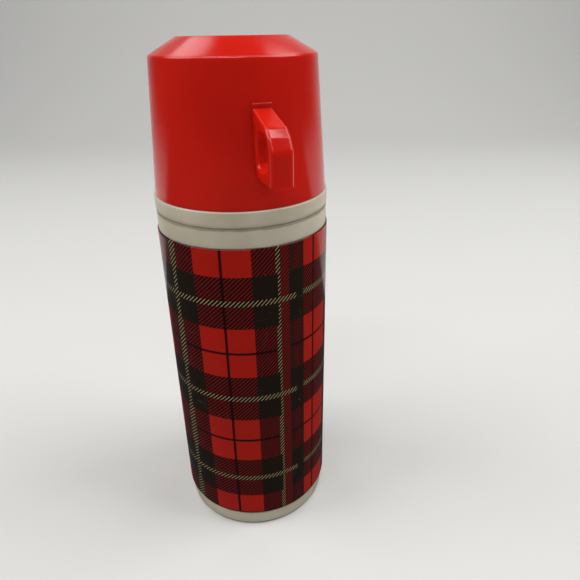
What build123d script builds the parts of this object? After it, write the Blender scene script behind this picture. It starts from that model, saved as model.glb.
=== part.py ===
from build123d import *
from math import acos, degrees
import os

# Vacuum flask for a lunch box, half-pint size, lengths in millimetres.
# Z is the flask's axis, the foot stands on Z = 0 and the cup's handle points along -Y.
# All threads are right-handed: turning a piece anticlockwise, seen from above, raises it.

os.makedirs("parts", exist_ok=True)

# Steel case
CASE_R = 35.0
CASE_T = 0.4
CASE_LOW, CASE_HIGH = 8.7, 144.0
CASE_LIP = 1.1
CASE_BEND = 0.8
CASE_IN = CASE_R - CASE_T
LIP_R = CASE_R - CASE_LIP
SEAM_ANGLE = -66.0
SEAM_GROOVE = 0.12
SEAM_END = 1.0
LAP_ARC = 5.0
LAP_T = 0.35
LAP_SUNK = 0.1
LAP_LOW, LAP_HIGH = 19.7, 134.0

# Plastic mouldings that plug into the case
SEAT_GAP = 0.05
BAND_R = 34.5
SPIGOT_R = 33.8
SPIGOT_L = 8.6
BEAD_R = 34.4
BEAD_L = 3.4
BEAD_LEAD_IN = 0.3
FOOT_R = 33.8
FOOT_EDGE = 1.2
BASE_FLOOR = 3.4
BASE_WALL = 2.0
FOOT_RECESS = 1.2
FOOT_RING_IN = 29.0
BASE_PAD_R = 9.0
BASE_RIBS = 8
RIB_R, RIB_L, RIB_T, RIB_H = 28.4, 7.4, 1.2, 8.0
RIB_SUNK = 0.2

# Shoulder ring and collar
RING_TOP = 151.45
RING_BORE = 31.2
COLLAR_LOW = 151.5
COLLAR_R = 34.7
COLLAR_HIGH = 157.8
COLLAR_EDGE = 1.3
GROOVE_CHAMFER = 0.4
NECK_CHAMFER = 0.8
NECK_R = 29.9
NECK_BORE = 28.0
SKIRT_LOW = 141.0
WEB_LOW, WEB_TOP = 169.0, 171.0
LIP_OUT, LIP_BORE = 22.6, 20.6
LIP_TOP = 175.0
FLANGE_LOW, FLANGE_TOP = 160.0, 162.0
FLANGE_BORE = 16.0
GASKET_BORE = 15.6
GASKET_SKIRT_L = 6.0
GASKET_SKIRT_T = 1.5
GASKET_CLEAR = 0.2

# Glass vacuum bottle
GLASS_T = 1.2
GLASS_R = 29.5
VACUUM_GAP = 2.5
INNER_R = GLASS_R - GLASS_T - VACUUM_GAP
NECK_GLASS_OUT = 18.3
NECK_GLASS_BORE = 14.5
NECK_GLASS_T = 1.1
GLASS_LOW = 13.0
GLASS_TOP = 158.0
DOME_H = 20.0
SHOULDER_LOW = 130.0
SHOULDER_H = 17.0
INNER_DOME_H = 17.0
INNER_SHOULDER_LOW = 128.0
INNER_SHOULDER_H = 15.0
DOME_GAP = 4.0
TIP_R, TIP_L = 2.6, 5.0
TIP_ROOT_R = 4.0
TIP_SUNK = 0.4
TIP_WAIST, TIP_NOSE = 1.6, 3.6
CUSHION_IN, CUSHION_OUT = 7.0, 24.0
TIP_CAP_R, TIP_CAP_LOW = 5.5, 5.4
TIP_CAP_CHAMFER = 0.8
TIP_CLEAR = 0.2
CENTRING_LOW, CENTRING_H = 96.0, 9.0
CENTRING_CHAMFER = 0.8
SOFT_GAP = 0.1
PAD_ARC, PAD_H, PAD_Z = 16.0, 7.0, 44.0
PAD_COUNT = 3

# Stopper
PLUG_R, PLUG_LOW = 13.0, 153.0
PLUG_CHAMFER = 1.0
PLUG_NECK_R = 15.2
PLUG_FLARE_LOW, PLUG_FLARE_TOP = 157.3, 158.7
GASKET_T = 2.0
GASKET_CHAMFER = 0.4
STOPPER_ROOT = 19.4
STOPPER_FLANGE_R = 22.4
STOPPER_FLANGE_LOW, STOPPER_FLANGE_TOP = 175.4, 177.8
KNOB_R, KNOB_TOP = 16.5, 184.0
KNOB_EDGE = 0.8
KNOB_FLUTES, FLUTE_R = 12, 1.8
FLUTE_LOW, FLUTE_DEPTH = 178.4, 0.9
STOPPER_WALL = 1.6
CAP_R, CAP_T = 14.0, 1.8
DISH_R, DISH_DEPTH, DISH_TAPER = 10.5, 0.6, 30.0

# Drinking cup: outer shell with its handle, and the lining inside it
CUP_RIM, CUP_EDGE, CUP_TOP = 158.0, 206.8, 212.7
CUP_R_RIM, CUP_R_EDGE, CUP_R_TOP = 34.1, 30.7, 20.2
CUP_T = 1.7
CUP_EDGE_FILLET, CUP_RIM_FILLET = 0.8, 0.6
CUP_INNER_EDGE = 205.8
CUP_INNER_TOP_R = 19.4
LINER_RIM = 176.5
LINER_EDGE = 204.8
LINER_GAP = 1.4
LINER_T = 1.2
LINER_FIT = 0.05
RIM_L = 1.6

# Handle, as (distance from the flask's axis, height): the loop's outline and its eye
HANDLE_W = 7.6
HANDLE_EDGE = 1.1
HANDLE_ROOT_TOP, HANDLE_ROOT_LOW = (30.9, 191.9), (32.5, 169.5)
HANDLE_KNEES = [(45.5, 187.3), (48.2, 184.7), (50.8, 180.4)]
HANDLE_KNEE_FILLET = 1.5
HANDLE_FOOT = (50.8, 169.5)
LEDGE_LOW, LEDGE_TOP, LEDGE_W = (30.9, 191.0), (32.1, 193.2), 7.0
EYE_CORNERS = [(34.6, 172.6), (46.8, 172.6), (46.8, 184.8), (34.6, 184.8)]
EYE_FILLETS = [3.2, 6.0, 3.6, 4.5]
HANDLE_PLANE = Plane(origin=(0, 0, 0), x_dir=(0, -1, 0), z_dir=(-1, 0, 0))

# Threads: lead, the widths of a ridge at its root and its crest, crest radii, the height of
# the ridge's start, its number of turns and the direction that it starts in
CUP_LEAD, CUP_STARTS = 9.0, 2
CUP_RIDGE = (2.0, 1.0)
CUP_CREST_MALE, CUP_CREST_FEMALE = 31.0, 30.25
CUP_THREAD_LOW = 160.6
CUP_TURNS_MALE, CUP_TURNS_FEMALE = 0.8, 0.5
CUP_START_MALE, CUP_START_FEMALE = 0.0, 90.0
CUP_ROOT_FEMALE = 32.2
STOPPER_LEAD = 4.0
STOPPER_RIDGE = (1.6, 0.8)
STOPPER_CREST_MALE, STOPPER_CREST_FEMALE = 20.3, 19.7
STOPPER_THREAD_LOW_MALE, STOPPER_THREAD_LOW_FEMALE = 166.8, 164.8
STOPPER_TURNS_MALE, STOPPER_TURNS_FEMALE = 1.25, 1.75
RING_LEAD = 3.0
RING_RIDGE = (1.2, 0.6)
RING_CREST_MALE, RING_CREST_FEMALE = 30.95, 30.2
RING_THREAD_LOW, RING_TURNS = 142.5, 2.0
ROOT_SINK = 0.3
HALF_TURN = 180.0


def ridge(root_r, crest_r, widths, lead, start_z, turns, start_angle):
    """One helical ridge from root_r to crest_r, sunk a little into the wall that carries it."""
    root_w, crest_w = widths
    sunk_r = root_r - ROOT_SINK if crest_r > root_r else root_r + ROOT_SINK
    with BuildPart() as helical:
        with BuildLine(Plane.XY.offset(start_z)) as path:
            Helix(pitch=lead, height=lead * turns, radius=root_r)
        with BuildSketch(Plane.XZ):
            with BuildLine():
                Polyline(
                    (sunk_r, start_z - root_w / 2),
                    (root_r, start_z - root_w / 2),
                    (crest_r, start_z - crest_w / 2),
                    (crest_r, start_z + crest_w / 2),
                    (root_r, start_z + root_w / 2),
                    (sunk_r, start_z + root_w / 2),
                    close=True,
                )
            make_face()
        sweep(path=path.wires()[0], is_frenet=True)
    return helical.part.rotate(Axis.Z, start_angle)


# ---------------------------------------------------------------- steel case
with BuildPart() as case_tube:
    with BuildSketch(Plane.XZ):
        with BuildLine():
            Polyline((LIP_R, CASE_LOW), (CASE_R - CASE_BEND, CASE_LOW))
            RadiusArc((CASE_R - CASE_BEND, CASE_LOW), (CASE_R, CASE_LOW + CASE_BEND), -CASE_BEND)
            Line((CASE_R, CASE_LOW + CASE_BEND), (CASE_R, CASE_HIGH - CASE_BEND))
            RadiusArc((CASE_R, CASE_HIGH - CASE_BEND), (CASE_R - CASE_BEND, CASE_HIGH), -CASE_BEND)
            Polyline(
                (CASE_R - CASE_BEND, CASE_HIGH),
                (LIP_R, CASE_HIGH),
                (LIP_R, CASE_HIGH - CASE_T),
                (CASE_R - CASE_BEND, CASE_HIGH - CASE_T),
            )
            RadiusArc(
                (CASE_R - CASE_BEND, CASE_HIGH - CASE_T),
                (CASE_IN, CASE_HIGH - CASE_BEND),
                CASE_BEND - CASE_T,
            )
            Line((CASE_IN, CASE_HIGH - CASE_BEND), (CASE_IN, CASE_LOW + CASE_BEND))
            RadiusArc(
                (CASE_IN, CASE_LOW + CASE_BEND),
                (CASE_R - CASE_BEND, CASE_LOW + CASE_T),
                CASE_BEND - CASE_T,
            )
            Polyline(
                (CASE_R - CASE_BEND, CASE_LOW + CASE_T),
                (LIP_R, CASE_LOW + CASE_T),
                (LIP_R, CASE_LOW),
            )
        make_face()
    revolve(axis=Axis.Z)
    # The sheet's two edges lap inside the case, and the lap's outer edge leaves a fine line.
    with BuildSketch(Plane.XZ.rotated((0, 0, SEAM_ANGLE))):
        with Locations((CASE_IN - LAP_T / 2 + LAP_SUNK, (LAP_LOW + LAP_HIGH) / 2)):
            Rectangle(LAP_T, LAP_HIGH - LAP_LOW)
    revolve(axis=Axis.Z, revolution_arc=LAP_ARC)
    with BuildSketch(Plane.XY.offset(CASE_LOW + SEAM_END)):
        with PolarLocations(CASE_R, 1, start_angle=SEAM_ANGLE):
            Circle(SEAM_GROOVE)
    extrude(amount=CASE_HIGH - CASE_LOW - 2 * SEAM_END, mode=Mode.SUBTRACT)
case_tube.part.label = "case_tube"
export_step(case_tube.part, "parts/case_tube.step")

# ---------------------------------------------------------------- base cup
base_seat = CASE_LOW - SEAT_GAP
with BuildPart() as base_cup:
    with BuildSketch(Plane.XZ):
        with BuildLine():
            Polyline(
                (0, FOOT_RECESS),
                (FOOT_RING_IN, FOOT_RECESS),
                (FOOT_RING_IN + FOOT_RECESS / 2, 0),
                (FOOT_R - FOOT_EDGE, 0),
            )
            RadiusArc((FOOT_R - FOOT_EDGE, 0), (FOOT_R, FOOT_EDGE), -FOOT_EDGE)
            Polyline(
                (FOOT_R, FOOT_EDGE),
                (BAND_R, base_seat),
                (SPIGOT_R, base_seat),
                (SPIGOT_R, CASE_LOW + CASE_T + SEAT_GAP),
                (BEAD_R, CASE_LOW + CASE_T + SEAT_GAP + BEAD_LEAD_IN),
                (BEAD_R, CASE_LOW + CASE_T + BEAD_L / 2),
                (SPIGOT_R, CASE_LOW + CASE_T + BEAD_L),
                (SPIGOT_R, base_seat + SPIGOT_L),
                (SPIGOT_R - BASE_WALL, base_seat + SPIGOT_L),
                (SPIGOT_R - BASE_WALL, BASE_FLOOR),
                (0, BASE_FLOOR),
                (0, FOOT_RECESS),
            )
        make_face()
    revolve(axis=Axis.Z)
    # Central pad level with the foot ring, and ribs that stiffen the floor round the cushion.
    with BuildSketch(Plane.XY):
        Circle(BASE_PAD_R)
    extrude(amount=BASE_FLOOR - RIB_SUNK)
    with BuildSketch(Plane.XY.offset(BASE_FLOOR - RIB_SUNK)):
        with PolarLocations(RIB_R, BASE_RIBS):
            Rectangle(RIB_L, RIB_T)
    extrude(amount=RIB_H)
base_cup.part.label = "base_cup"
export_step(base_cup.part, "parts/base_cup.step")

# ---------------------------------------------------------------- shoulder ring
ring_seat = CASE_HIGH + SEAT_GAP
ring_thread = ridge(
    RING_BORE, RING_CREST_FEMALE, RING_RIDGE, RING_LEAD, RING_THREAD_LOW, RING_TURNS, HALF_TURN
)
with BuildPart() as shoulder_ring:
    with BuildSketch(Plane.XZ):
        with BuildLine():
            Polyline(
                (RING_BORE, ring_seat - SPIGOT_L),
                (SPIGOT_R - GROOVE_CHAMFER, ring_seat - SPIGOT_L),
                (SPIGOT_R, ring_seat - SPIGOT_L + GROOVE_CHAMFER),
                (SPIGOT_R, CASE_HIGH - CASE_T - BEAD_L),
                (BEAD_R, CASE_HIGH - CASE_T - BEAD_L / 2),
                (BEAD_R, CASE_HIGH - CASE_T - SEAT_GAP - BEAD_LEAD_IN),
                (SPIGOT_R, CASE_HIGH - CASE_T - SEAT_GAP),
                (SPIGOT_R, ring_seat),
                (BAND_R, ring_seat),
                (BAND_R, RING_TOP - GROOVE_CHAMFER),
                (BAND_R - GROOVE_CHAMFER, RING_TOP),
                (RING_BORE, RING_TOP),
                close=True,
            )
        make_face()
    revolve(axis=Axis.Z)
    add(ring_thread)
shoulder_ring.part.label = "shoulder_ring"
export_step(shoulder_ring.part, "parts/shoulder_ring.step")

# ---------------------------------------------------------------- collar
collar_threads = [
    ridge(NECK_R, RING_CREST_MALE, RING_RIDGE, RING_LEAD, RING_THREAD_LOW, RING_TURNS, 0.0),
    ridge(
        LIP_BORE,
        STOPPER_CREST_FEMALE,
        STOPPER_RIDGE,
        STOPPER_LEAD,
        STOPPER_THREAD_LOW_FEMALE,
        STOPPER_TURNS_FEMALE,
        HALF_TURN,
    ),
]
for start in range(CUP_STARTS):
    collar_threads.append(
        ridge(
            NECK_R,
            CUP_CREST_MALE,
            CUP_RIDGE,
            CUP_LEAD,
            CUP_THREAD_LOW,
            CUP_TURNS_MALE,
            CUP_START_MALE + 360.0 / CUP_STARTS * start,
        )
    )

lip_round = (LIP_OUT - LIP_BORE) / 2
with BuildPart() as collar:
    with BuildSketch(Plane.XZ):
        with BuildLine():
            Polyline(
                (NECK_BORE, SKIRT_LOW),
                (NECK_R, SKIRT_LOW),
                (NECK_R, COLLAR_LOW),
                (COLLAR_R - GROOVE_CHAMFER, COLLAR_LOW),
                (COLLAR_R, COLLAR_LOW + GROOVE_CHAMFER),
                (COLLAR_R, COLLAR_HIGH - COLLAR_EDGE),
            )
            RadiusArc(
                (COLLAR_R, COLLAR_HIGH - COLLAR_EDGE),
                (COLLAR_R - COLLAR_EDGE, COLLAR_HIGH),
                -COLLAR_EDGE,
            )
            Polyline(
                (COLLAR_R - COLLAR_EDGE, COLLAR_HIGH),
                (NECK_R, COLLAR_HIGH),
                (NECK_R, WEB_TOP - NECK_CHAMFER),
                (NECK_R - NECK_CHAMFER, WEB_TOP),
                (LIP_OUT + lip_round, WEB_TOP),
                (LIP_OUT, WEB_TOP + lip_round),
                (LIP_OUT, LIP_TOP - lip_round),
            )
            RadiusArc((LIP_OUT, LIP_TOP - lip_round), (LIP_BORE, LIP_TOP - lip_round), -lip_round)
            Polyline(
                (LIP_BORE, LIP_TOP - lip_round),
                (LIP_BORE, FLANGE_TOP),
                (FLANGE_BORE, FLANGE_TOP),
                (FLANGE_BORE, FLANGE_LOW),
                (LIP_OUT, FLANGE_LOW),
                (LIP_OUT, WEB_LOW),
                (NECK_BORE, WEB_LOW),
                (NECK_BORE, SKIRT_LOW),
            )
        make_face()
    revolve(axis=Axis.Z)
    add(collar_threads)
collar.part.label = "collar"
export_step(collar.part, "parts/collar.step")

# ---------------------------------------------------------------- neck gasket
gasket_low = GLASS_TOP + SEAT_GAP
gasket_top = FLANGE_LOW - SEAT_GAP
skirt_in = NECK_GLASS_OUT + GASKET_CLEAR
skirt_out = skirt_in + GASKET_SKIRT_T
with BuildPart() as neck_gasket:
    with BuildSketch(Plane.XZ):
        with BuildLine():
            Polyline(
                (GASKET_BORE, gasket_low),
                (skirt_in, gasket_low),
                (skirt_in, gasket_low - GASKET_SKIRT_L),
                (skirt_out, gasket_low - GASKET_SKIRT_L),
                (skirt_out, gasket_top),
                (GASKET_BORE, gasket_top),
                close=True,
            )
        make_face()
    revolve(axis=Axis.Z)
neck_gasket.part.label = "neck_gasket"
export_step(neck_gasket.part, "parts/neck_gasket.step")

# ---------------------------------------------------------------- glass, outer wall
lip_mid = (NECK_GLASS_OUT + NECK_GLASS_BORE) / 2
lip_r = (NECK_GLASS_OUT - NECK_GLASS_BORE) / 2
lip_centre = GLASS_TOP - lip_r


def bottle_side(body_r, neck_r, low, top, dome_h, shoulder_low, shoulder_h):
    """Outline of one side of a bottle wall: dome, straight body, shoulder and neck."""
    shoulder_top = shoulder_low + shoulder_h
    return [
        EllipticalCenterArc((0, low + dome_h), body_r, dome_h, start_angle=270, arc_size=90),
        Line((body_r, low + dome_h), (body_r, shoulder_low)),
        EllipticalCenterArc(
            (neck_r, shoulder_low), body_r - neck_r, shoulder_h, start_angle=0, arc_size=90
        ),
        Line((neck_r, shoulder_top), (neck_r, top)),
    ]


with BuildPart() as glass_outer:
    with BuildSketch(Plane.XZ):
        with BuildLine():
            bottle_side(
                GLASS_R, NECK_GLASS_OUT, GLASS_LOW, lip_centre, DOME_H, SHOULDER_LOW, SHOULDER_H
            )
            RadiusArc((NECK_GLASS_OUT, lip_centre), (lip_mid, GLASS_TOP), -lip_r)
            Line((lip_mid, GLASS_TOP), (lip_mid, GLASS_TOP - NECK_GLASS_T))
            RadiusArc(
                (lip_mid, GLASS_TOP - NECK_GLASS_T),
                (NECK_GLASS_OUT - NECK_GLASS_T, lip_centre),
                lip_r - NECK_GLASS_T,
            )
            bottle_side(
                GLASS_R - GLASS_T,
                NECK_GLASS_OUT - NECK_GLASS_T,
                GLASS_LOW + GLASS_T,
                lip_centre,
                DOME_H - GLASS_T,
                SHOULDER_LOW,
                SHOULDER_H - GLASS_T,
            )
            Line((0, GLASS_LOW), (0, GLASS_LOW + GLASS_T))
        make_face()
    revolve(axis=Axis.Z)
    # The pinched tip where the air was drawn out.
    with BuildSketch(Plane.XZ):
        with BuildLine():
            Polyline(
                (0, GLASS_LOW + TIP_SUNK),
                (TIP_ROOT_R, GLASS_LOW + TIP_SUNK),
                (TIP_R, GLASS_LOW - TIP_WAIST),
            )
            Spline(
                (TIP_R, GLASS_LOW - TIP_WAIST),
                (TIP_R * 0.8, GLASS_LOW - TIP_NOSE),
                (0, GLASS_LOW - TIP_L),
                tangents=((0, -1), (-1, 0)),
            )
            Line((0, GLASS_LOW - TIP_L), (0, GLASS_LOW + TIP_SUNK))
        make_face()
    revolve(axis=Axis.Z)
glass_outer.part.label = "glass_outer"
export_step(glass_outer.part, "parts/glass_outer.step")

# ---------------------------------------------------------------- glass, inner wall
inner_low = GLASS_LOW + GLASS_T + DOME_GAP
inner_neck = NECK_GLASS_BORE + NECK_GLASS_T
with BuildPart() as glass_inner:
    with BuildSketch(Plane.XZ):
        with BuildLine():
            bottle_side(
                INNER_R,
                inner_neck,
                inner_low,
                lip_centre,
                INNER_DOME_H,
                INNER_SHOULDER_LOW,
                INNER_SHOULDER_H,
            )
            RadiusArc(
                (inner_neck, lip_centre),
                (lip_mid, GLASS_TOP - NECK_GLASS_T),
                lip_r - NECK_GLASS_T,
            )
            Line((lip_mid, GLASS_TOP - NECK_GLASS_T), (lip_mid, GLASS_TOP))
            RadiusArc((lip_mid, GLASS_TOP), (NECK_GLASS_BORE, lip_centre), -lip_r)
            bottle_side(
                INNER_R - GLASS_T,
                NECK_GLASS_BORE,
                inner_low + GLASS_T,
                lip_centre,
                INNER_DOME_H - GLASS_T,
                INNER_SHOULDER_LOW,
                INNER_SHOULDER_H - GLASS_T,
            )
            Line((0, inner_low), (0, inner_low + GLASS_T))
        make_face()
    revolve(axis=Axis.Z)
glass_inner.part.label = "glass_inner"
export_step(glass_inner.part, "parts/glass_inner.step")

# ---------------------------------------------------------------- spacer pads in the vacuum gap
with BuildPart() as one_pad:
    with BuildSketch(Plane.XZ):
        with Locations(((INNER_R + GLASS_R - GLASS_T) / 2, PAD_Z)):
            Rectangle(VACUUM_GAP - SOFT_GAP, PAD_H)
    revolve(axis=Axis.Z, revolution_arc=PAD_ARC)

with BuildPart() as spacer_pads:
    for place in range(PAD_COUNT):
        add(one_pad.part.rotate(Axis.Z, 360.0 / PAD_COUNT * place))
spacer_pads.part.label = "spacer_pads"
export_step(spacer_pads.part, "parts/spacer_pads.step")

# ---------------------------------------------------------------- rubber under the glass
dome_centre = GLASS_LOW + DOME_H
seat_a, seat_b = GLASS_R + SOFT_GAP, DOME_H + SOFT_GAP
seat_from = -degrees(acos(CUSHION_IN / seat_a))
seat_to = -degrees(acos(CUSHION_OUT / seat_a))
with BuildPart() as base_cushion:
    with BuildSketch(Plane.XZ):
        with BuildLine():
            seat = EllipticalCenterArc(
                (0, dome_centre),
                seat_a,
                seat_b,
                start_angle=seat_from,
                arc_size=seat_to - seat_from,
            )
            Polyline(
                seat @ 1,
                (CUSHION_OUT, BASE_FLOOR + SEAT_GAP),
                (CUSHION_IN, BASE_FLOOR + SEAT_GAP),
                seat @ 0,
            )
        make_face()
    revolve(axis=Axis.Z)
base_cushion.part.label = "base_cushion"
export_step(base_cushion.part, "parts/base_cushion.step")

with BuildPart() as tip_cap:
    with BuildSketch(Plane.XZ):
        with BuildLine():
            Polyline(
                (0, TIP_CAP_LOW),
                (TIP_CAP_R - TIP_CAP_CHAMFER, TIP_CAP_LOW),
                (TIP_CAP_R, TIP_CAP_LOW + TIP_CAP_CHAMFER),
                (TIP_CAP_R, GLASS_LOW - SOFT_GAP),
                (TIP_ROOT_R, GLASS_LOW - SOFT_GAP),
                (TIP_R + TIP_CLEAR, GLASS_LOW - TIP_WAIST),
                (TIP_R + TIP_CLEAR, GLASS_LOW - TIP_L),
                (0, GLASS_LOW - TIP_L - 2 * TIP_CLEAR),
                close=True,
            )
        make_face()
    revolve(axis=Axis.Z)
tip_cap.part.label = "tip_cap"
export_step(tip_cap.part, "parts/tip_cap.step")

# ---------------------------------------------------------------- foam ring that centres the glass
with BuildPart() as centring_ring:
    with BuildSketch(Plane.XY.offset(CENTRING_LOW)):
        Circle(CASE_IN - LAP_T)
        Circle(GLASS_R + SOFT_GAP, mode=Mode.SUBTRACT)
    extrude(amount=CENTRING_H)
    chamfer(centring_ring.edges().filter_by(GeomType.CIRCLE), CENTRING_CHAMFER)
centring_ring.part.label = "centring_ring"
export_step(centring_ring.part, "parts/centring_ring.step")

# ---------------------------------------------------------------- stopper
gasket_seat = FLANGE_TOP + SEAT_GAP
shoulder_seat = gasket_seat + GASKET_T + SEAT_GAP
bore_r = PLUG_R - STOPPER_WALL
bore_low = PLUG_LOW + STOPPER_WALL
cap_seat = KNOB_TOP - CAP_T
stopper_thread = ridge(
    STOPPER_ROOT,
    STOPPER_CREST_MALE,
    STOPPER_RIDGE,
    STOPPER_LEAD,
    STOPPER_THREAD_LOW_MALE,
    STOPPER_TURNS_MALE,
    0.0,
)
with BuildPart() as stopper_body:
    with BuildSketch(Plane.XZ):
        with BuildLine():
            Polyline(
                (0, PLUG_LOW),
                (PLUG_R - PLUG_CHAMFER, PLUG_LOW),
                (PLUG_R, PLUG_LOW + PLUG_CHAMFER),
                (PLUG_R, PLUG_FLARE_LOW),
                (PLUG_NECK_R, PLUG_FLARE_TOP),
                (PLUG_NECK_R, shoulder_seat),
                (STOPPER_ROOT, shoulder_seat),
                (STOPPER_ROOT, STOPPER_FLANGE_LOW),
                (STOPPER_FLANGE_R, STOPPER_FLANGE_LOW),
                (STOPPER_FLANGE_R, STOPPER_FLANGE_TOP - KNOB_EDGE),
                (STOPPER_FLANGE_R - KNOB_EDGE, STOPPER_FLANGE_TOP),
                (KNOB_R, STOPPER_FLANGE_TOP),
                (KNOB_R, KNOB_TOP - KNOB_EDGE),
                (KNOB_R - KNOB_EDGE, KNOB_TOP),
                (CAP_R, KNOB_TOP),
                (CAP_R, cap_seat),
                (bore_r, cap_seat),
                (bore_r, bore_low),
                (0, bore_low),
                close=True,
            )
        make_face()
    revolve(axis=Axis.Z)
    # Finger flutes round the knob.
    with BuildSketch(Plane.XY.offset(FLUTE_LOW)):
        with PolarLocations(KNOB_R - FLUTE_DEPTH + FLUTE_R, KNOB_FLUTES):
            Circle(FLUTE_R)
    extrude(amount=KNOB_TOP - FLUTE_LOW, mode=Mode.SUBTRACT)
    add(stopper_thread)
stopper_body.part.label = "stopper_body"
export_step(stopper_body.part, "parts/stopper_body.step")

with BuildPart() as stopper_cap:
    with BuildSketch(Plane.XY.offset(cap_seat + SEAT_GAP)):
        Circle(CAP_R - SEAT_GAP)
    extrude(amount=CAP_T - SEAT_GAP)
    # A shallow dish in the disc's middle.
    with BuildSketch(Plane.XY.offset(KNOB_TOP)):
        Circle(DISH_R)
    extrude(amount=-DISH_DEPTH, taper=DISH_TAPER, mode=Mode.SUBTRACT)
    chamfer(stopper_cap.faces().sort_by(Axis.Z)[-1].outer_wire().edges(), GASKET_CHAMFER)
stopper_cap.part.label = "stopper_cap"
export_step(stopper_cap.part, "parts/stopper_cap.step")

with BuildPart() as stopper_foam:
    with BuildSketch(Plane.XY.offset(bore_low + SOFT_GAP)):
        Circle(bore_r - SOFT_GAP)
    extrude(amount=cap_seat - bore_low - 2 * SOFT_GAP)
stopper_foam.part.label = "stopper_foam"
export_step(stopper_foam.part, "parts/stopper_foam.step")

with BuildPart() as stopper_gasket:
    with BuildSketch(Plane.XY.offset(gasket_seat)):
        Circle(STOPPER_ROOT - GASKET_CHAMFER)
        Circle(PLUG_NECK_R + SEAT_GAP, mode=Mode.SUBTRACT)
    extrude(amount=GASKET_T)
    gasket_rims = stopper_gasket.edges().filter_by(GeomType.CIRCLE).sort_by(SortBy.RADIUS)
    chamfer(gasket_rims[-2:], GASKET_CHAMFER)
stopper_gasket.part.label = "stopper_gasket"
export_step(stopper_gasket.part, "parts/stopper_gasket.step")

# ---------------------------------------------------------------- cup shell and handle
shell_rim_r = CUP_R_RIM - CUP_T
shell_edge_r = CUP_R_EDGE - CUP_T
shell_top_z = CUP_TOP - CUP_T

with BuildSketch(HANDLE_PLANE) as handle_eye:
    with BuildLine():
        Polyline(*EYE_CORNERS, close=True)
    make_face()
    for corner, radius in zip(EYE_CORNERS, EYE_FILLETS):
        fillet(handle_eye.vertices().sort_by_distance(corner)[0], radius)

with BuildPart() as handle:
    with BuildSketch(HANDLE_PLANE) as handle_side:
        with BuildLine():
            Polyline(
                HANDLE_ROOT_TOP,
                *HANDLE_KNEES,
                HANDLE_FOOT,
                HANDLE_ROOT_LOW,
                close=True,
            )
        make_face()
        for knee in HANDLE_KNEES:
            fillet(handle_side.vertices().sort_by_distance(knee)[0], HANDLE_KNEE_FILLET)
        add(handle_eye.sketch_local, mode=Mode.SUBTRACT)
    extrude(amount=HANDLE_W / 2, both=True)
    # The foot of the handle is a flat face with crisp edges; all the others are rounded.
    sides = handle.faces().filter_by(Axis.X).sort_by(Axis.X)
    side_edges = sides[0].edges() + sides[-1].edges()
    foot_z = HANDLE_FOOT[1]
    fillet(side_edges.filter_by(lambda edge: edge.center().Z > foot_z + SOFT_GAP), HANDLE_EDGE)
    # A low ledge where the handle's top leaves the cup's wall.
    with BuildSketch(HANDLE_PLANE):
        with BuildLine():
            Polyline(
                LEDGE_LOW,
                (LEDGE_TOP[0], LEDGE_LOW[1]),
                LEDGE_TOP,
                (LEDGE_LOW[0], LEDGE_TOP[1]),
                close=True,
            )
        make_face()
    extrude(amount=LEDGE_W / 2, both=True)

cup_threads = []
for start in range(CUP_STARTS):
    cup_threads.append(
        ridge(
            CUP_ROOT_FEMALE,
            CUP_CREST_FEMALE,
            CUP_RIDGE,
            CUP_LEAD,
            CUP_THREAD_LOW,
            CUP_TURNS_FEMALE,
            CUP_START_FEMALE + 360.0 / CUP_STARTS * start,
        )
    )

with BuildPart() as cup_shell:
    with BuildSketch(Plane.XZ) as shell_side:
        with BuildLine():
            Polyline(
                (shell_rim_r, CUP_RIM),
                (CUP_R_RIM, CUP_RIM),
                (CUP_R_EDGE, CUP_EDGE),
                (CUP_R_TOP, CUP_TOP),
                (0, CUP_TOP),
                (0, shell_top_z),
                (CUP_INNER_TOP_R, shell_top_z),
                (shell_edge_r, CUP_INNER_EDGE),
                close=True,
            )
        make_face()
        for corner in ((CUP_R_EDGE, CUP_EDGE), (CUP_R_TOP, CUP_TOP)):
            fillet(shell_side.vertices().sort_by_distance(corner)[0], CUP_EDGE_FILLET)
        for corner in ((CUP_R_RIM, CUP_RIM), (shell_rim_r, CUP_RIM)):
            fillet(shell_side.vertices().sort_by_distance(corner)[0], CUP_RIM_FILLET)
    revolve(axis=Axis.Z)
    add(handle.part)
    add(cup_threads)
cup_shell.part.label = "cup_shell"
export_step(cup_shell.part, "parts/cup_shell.step")

# ---------------------------------------------------------------- cup lining
def shell_in(z):
    """Inner radius of the cup shell's side at height z."""
    return shell_rim_r + (shell_edge_r - shell_rim_r) * (z - CUP_RIM) / (CUP_INNER_EDGE - CUP_RIM)


liner_top_z = shell_top_z - LINER_GAP
liner_rim_top = LINER_RIM + RIM_L
with BuildPart() as cup_liner:
    with BuildSketch(Plane.XZ):
        with BuildLine():
            Polyline(
                (shell_in(LINER_RIM) - LINER_GAP - LINER_T, LINER_RIM),
                (shell_in(LINER_RIM) - LINER_FIT, LINER_RIM),
                (shell_in(liner_rim_top) - LINER_FIT, liner_rim_top),
                (shell_in(liner_rim_top) - LINER_GAP, liner_rim_top),
                (shell_in(LINER_EDGE) - LINER_GAP, LINER_EDGE),
                (CUP_INNER_TOP_R - LINER_GAP, liner_top_z),
                (0, liner_top_z),
                (0, liner_top_z - LINER_T),
                (CUP_INNER_TOP_R - LINER_GAP - LINER_T / 2, liner_top_z - LINER_T),
                (shell_in(LINER_EDGE) - LINER_GAP - LINER_T, LINER_EDGE - LINER_T / 2),
                close=True,
            )
        make_face()
    revolve(axis=Axis.Z)
cup_liner.part.label = "cup_liner"
export_step(cup_liner.part, "parts/cup_liner.step")
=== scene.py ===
"""Looks of the vacuum flask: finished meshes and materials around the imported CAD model.

Places are in the CAD model's frame: Z is the flask's axis and the handle points along -Y.
Outlines are lists of (radius, height) in millimetres, turned round Z by lathe(). Meshes are
in metres.
"""

from math import atan2, cos, exp, pi, radians, sin, sqrt, tan

import bpy
import bmesh
from mathutils import Matrix, Vector


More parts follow.
